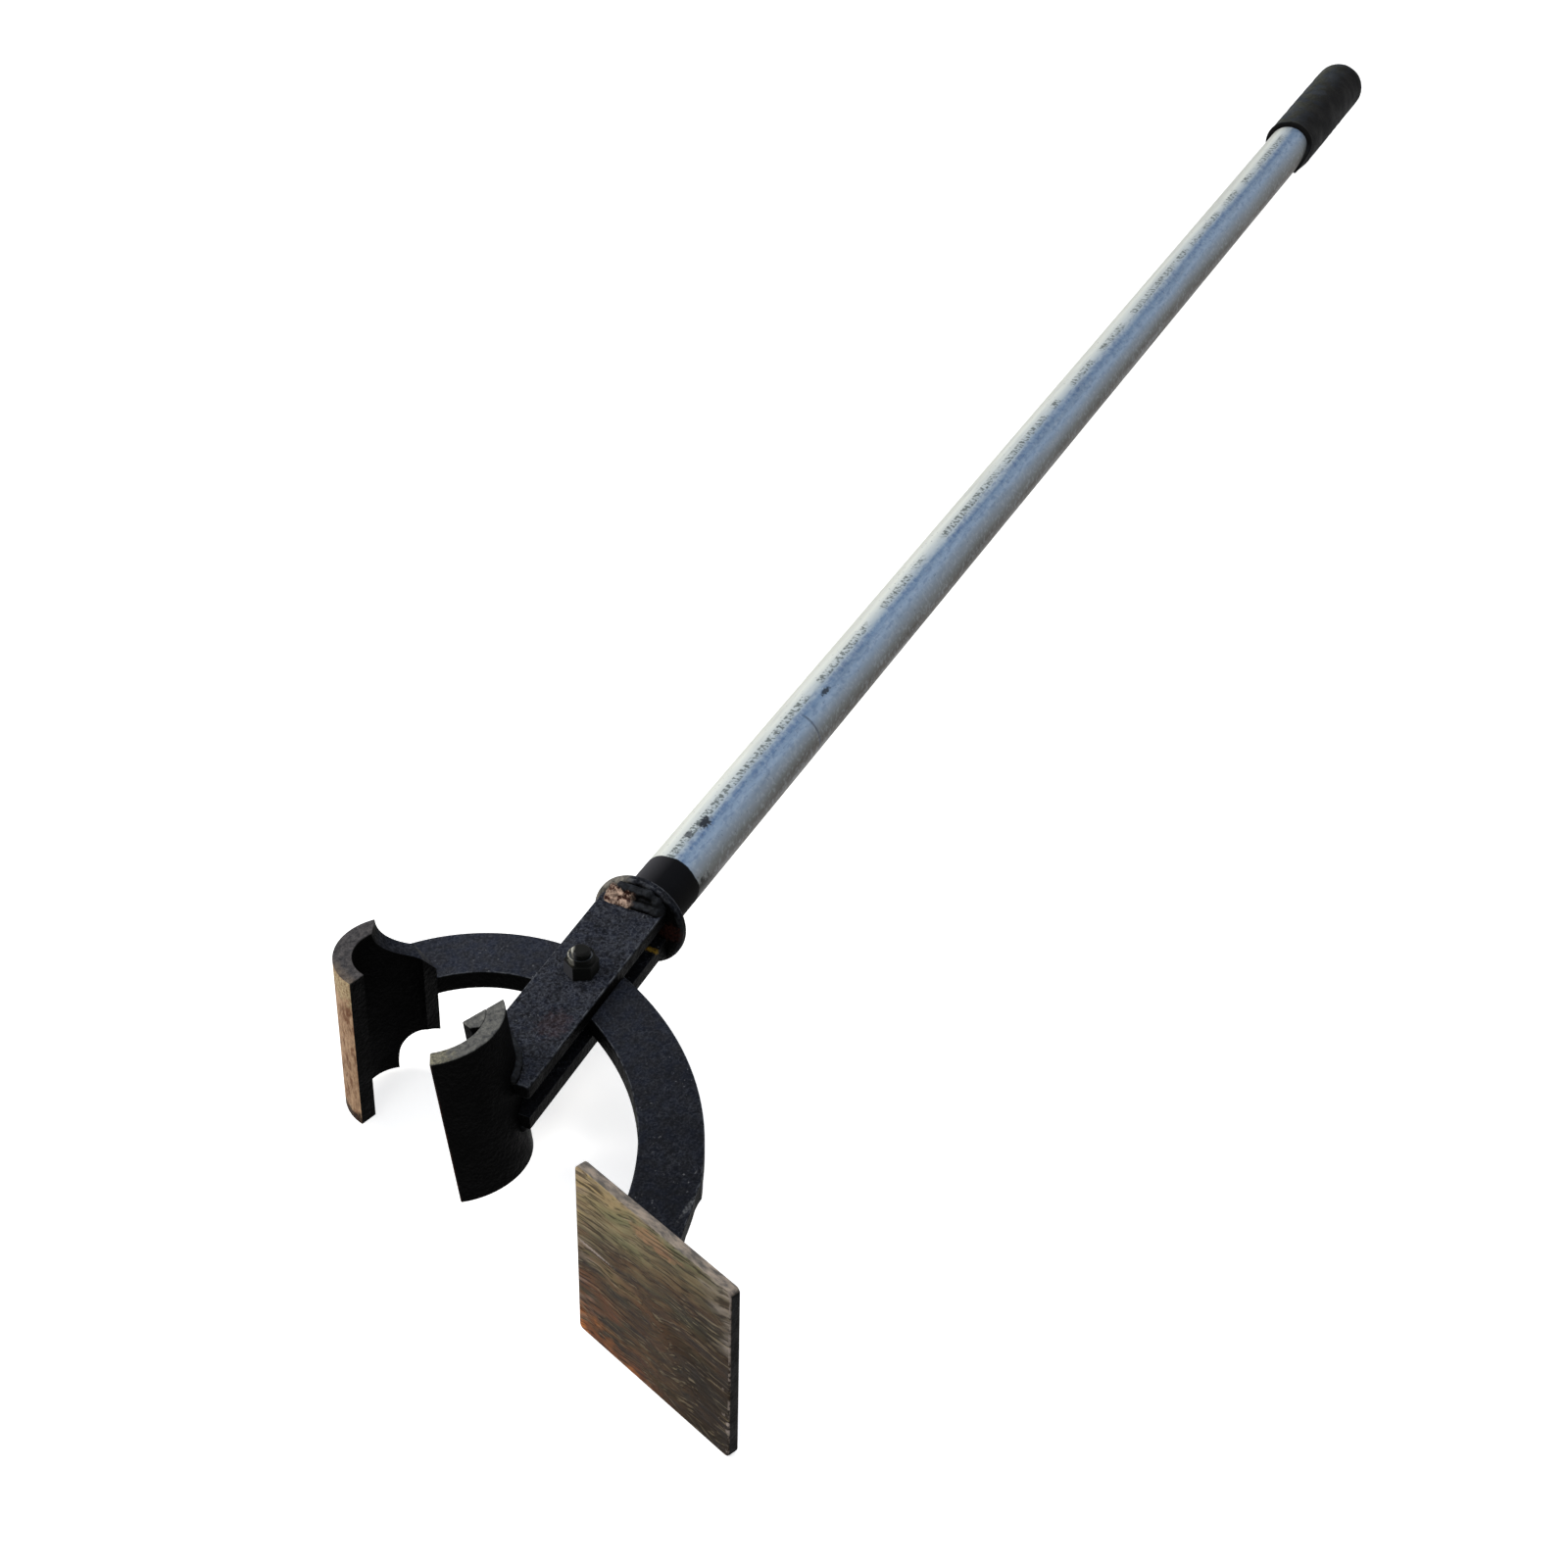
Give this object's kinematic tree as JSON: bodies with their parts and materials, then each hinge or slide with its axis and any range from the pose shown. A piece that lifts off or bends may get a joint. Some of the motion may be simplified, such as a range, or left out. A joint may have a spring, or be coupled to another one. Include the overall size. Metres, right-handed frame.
{
  "type": "weed puller",
  "caption": "Long-handled lever tool with a curved frame plate, a foot plate and pipe jaws that grip a plant's stem and pull up its root.",
  "frame": {"origin": "middle of the foot plate's working face", "axes": "+X along the handle towards the grip, +Z square to the frame plate towards the lock nut, +Y from the foot plate towards the jaws; the tool lies on its side"},
  "size_m": [1.5845, 0.3009, 0.106],
  "materials": {
    "black_paint": "satin black brush paint, lumpy",
    "bare_steel": "ground bare steel with a brown patina and light rust",
    "weld_bead": "rusty weld bead, partly painted",
    "zinc_plate": "bright zinc plating",
    "galvanised_steel": "smooth galvanised pipe with smudges",
    "nylon": "matt nylon",
    "grip_rubber": "rough dark rubber"
  },
  "bodies": {
    "frame": {"frame_plate": "black_paint", "fixed_jaw": "black_paint", "fixed_jaw_weld_upper": "weld_bead", "fixed_jaw_weld_lower": "weld_bead", "foot_plate": "bare_steel", "foot_plate_weld_upper": "weld_bead", "foot_plate_weld_lower": "weld_bead"},
    "lever": {"upper_fork_bar": "black_paint", "lower_fork_bar": "black_paint", "moving_jaw": "black_paint", "moving_jaw_lip": "black_paint", "moving_jaw_weld_upper": "weld_bead", "moving_jaw_weld_lower": "weld_bead", "fork_disc": "black_paint", "fork_weld_upper": "weld_bead", "fork_weld_lower": "weld_bead", "pivot_bolt": "zinc_plate", "bolt_washer": "zinc_plate", "lock_nut": "zinc_plate", "lock_nut_ring": "nylon", "handle_pipe": "galvanised_steel", "handle_weld": "black_paint", "hand_grip": "grip_rubber"}
  },
  "joints": [
    {"name": "lever_pivot", "type": "hinge", "parent": "frame", "child": "lever", "pos_m": [0.18111, 0.13596, 0], "axis": [0, 0, 1], "range_deg": [-31, 35]}
  ]
}
